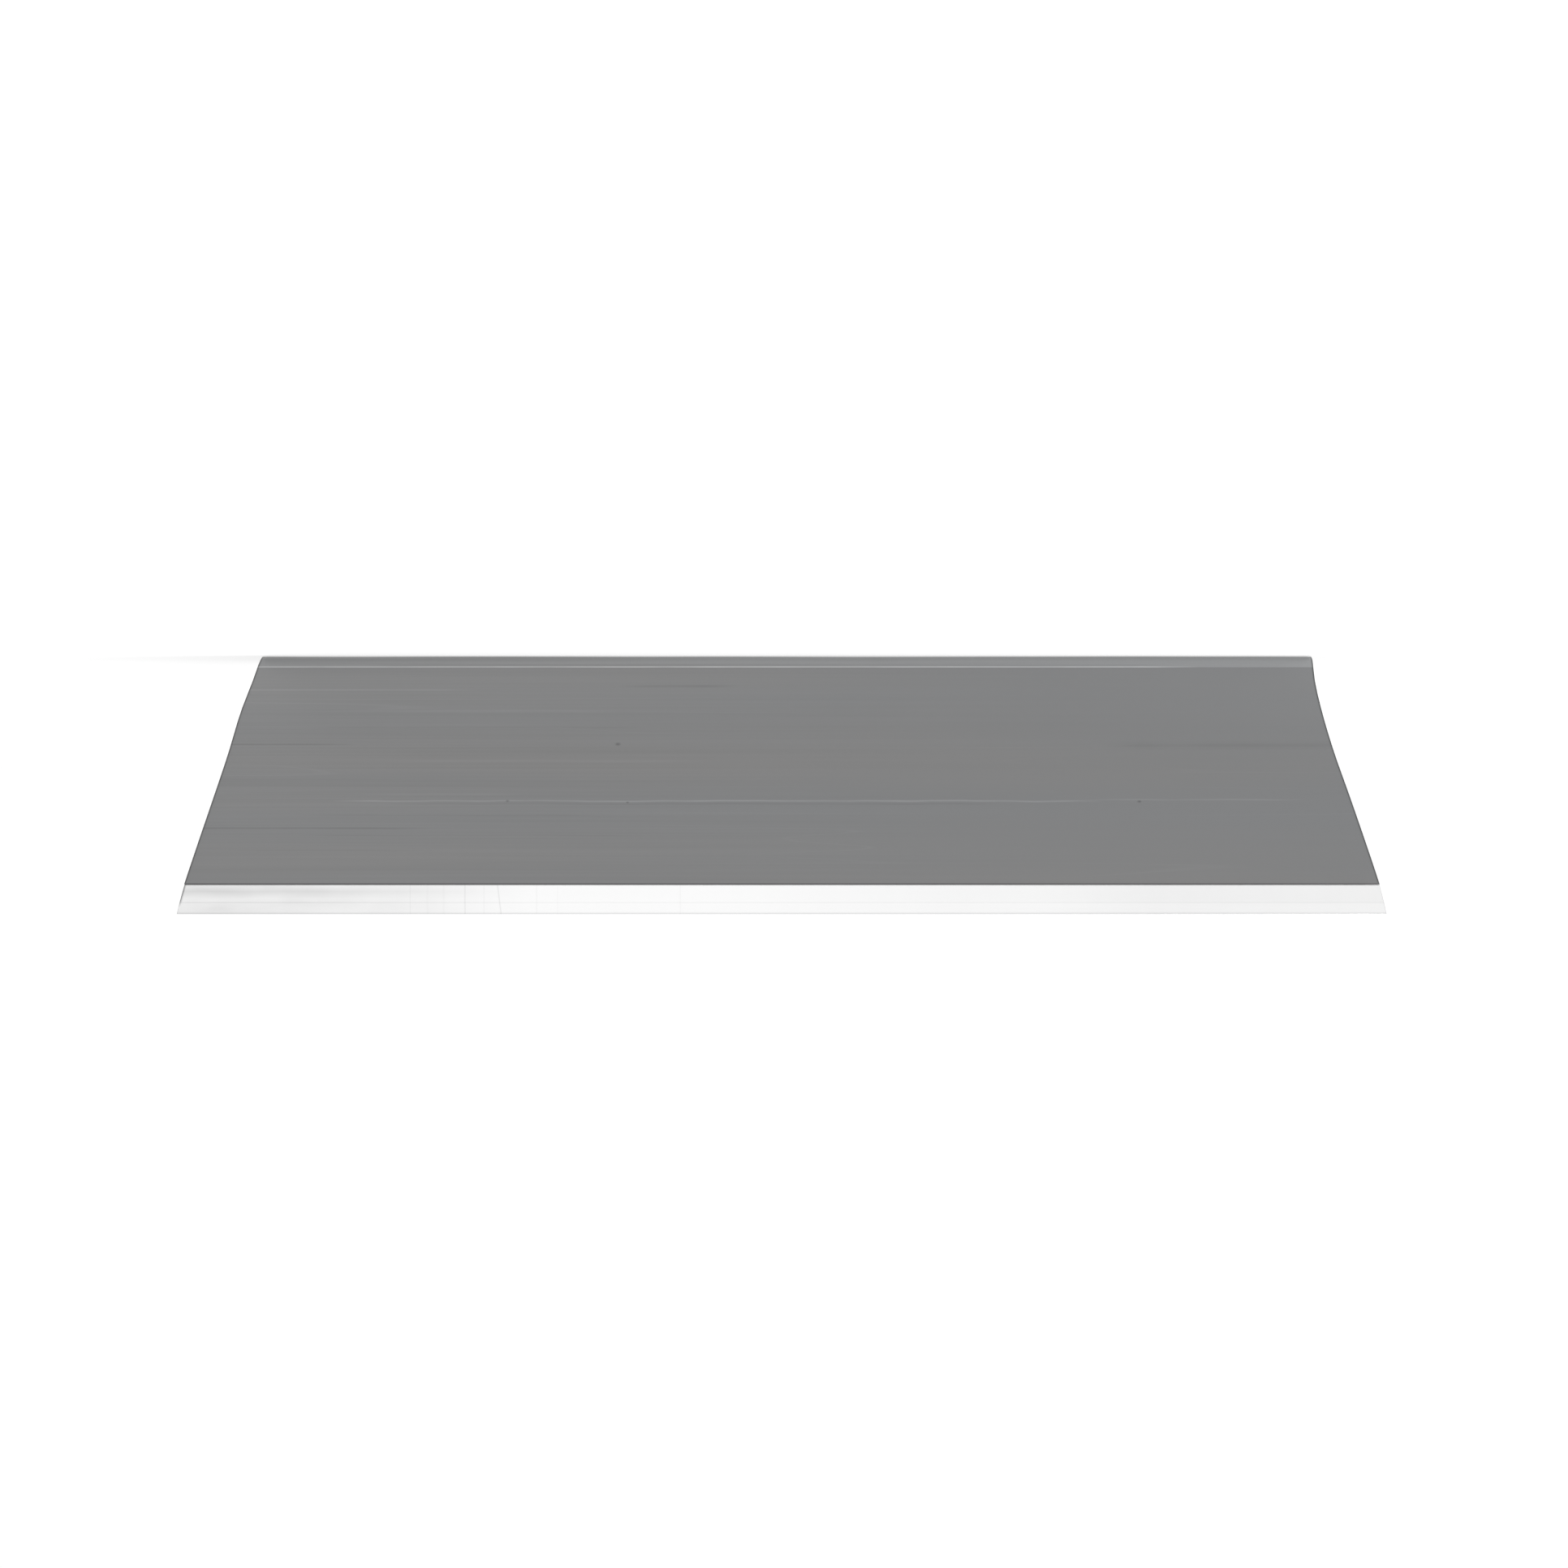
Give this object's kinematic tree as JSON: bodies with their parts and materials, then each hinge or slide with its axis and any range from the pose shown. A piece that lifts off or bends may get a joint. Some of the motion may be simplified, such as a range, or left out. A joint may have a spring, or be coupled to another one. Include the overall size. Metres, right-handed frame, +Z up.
{
  "type": "mud pan",
  "caption": "Long sheet-steel trough with outward-leaning walls, swept end plates and bright upright wiping edges, for holding joint compound in one hand.",
  "frame": {"origin": "middle of the flat underside, where the pan stands", "axes": "+X along the pan, +Y from the front long wall to the rear one, +Z up out of the open top"},
  "size_m": [0.4064, 0.108, 0.0874],
  "materials": {
    "satin_steel": "cold-rolled grey satin with fine lengthwise lines",
    "ground_steel": "bright ground steel with faint crosswise grinding lines",
    "weld_metal": "rippled weld bead, lightly brushed"
  },
  "bodies": {
    "root": {"trough_shell": "satin_steel", "end_plate_left": "satin_steel", "end_plate_right": "satin_steel", "wiping_edge_front": "ground_steel", "wiping_edge_rear": "ground_steel", "weld_seam_left_bottom": "weld_metal", "weld_seam_left_front": "weld_metal", "weld_seam_left_rear": "weld_metal", "weld_seam_right_bottom": "weld_metal", "weld_seam_right_front": "weld_metal", "weld_seam_right_rear": "weld_metal", "spot_weld_front_1": "weld_metal", "spot_weld_front_2": "weld_metal", "spot_weld_front_3": "weld_metal", "spot_weld_front_4": "weld_metal", "spot_weld_front_5": "weld_metal", "spot_weld_front_6": "weld_metal", "spot_weld_front_7": "weld_metal", "spot_weld_front_8": "weld_metal", "spot_weld_front_9": "weld_metal", "spot_weld_rear_1": "weld_metal", "spot_weld_rear_2": "weld_metal", "spot_weld_rear_3": "weld_metal", "spot_weld_rear_4": "weld_metal", "spot_weld_rear_5": "weld_metal", "spot_weld_rear_6": "weld_metal", "spot_weld_rear_7": "weld_metal", "spot_weld_rear_8": "weld_metal", "spot_weld_rear_9": "weld_metal"}
  },
  "joints": []
}
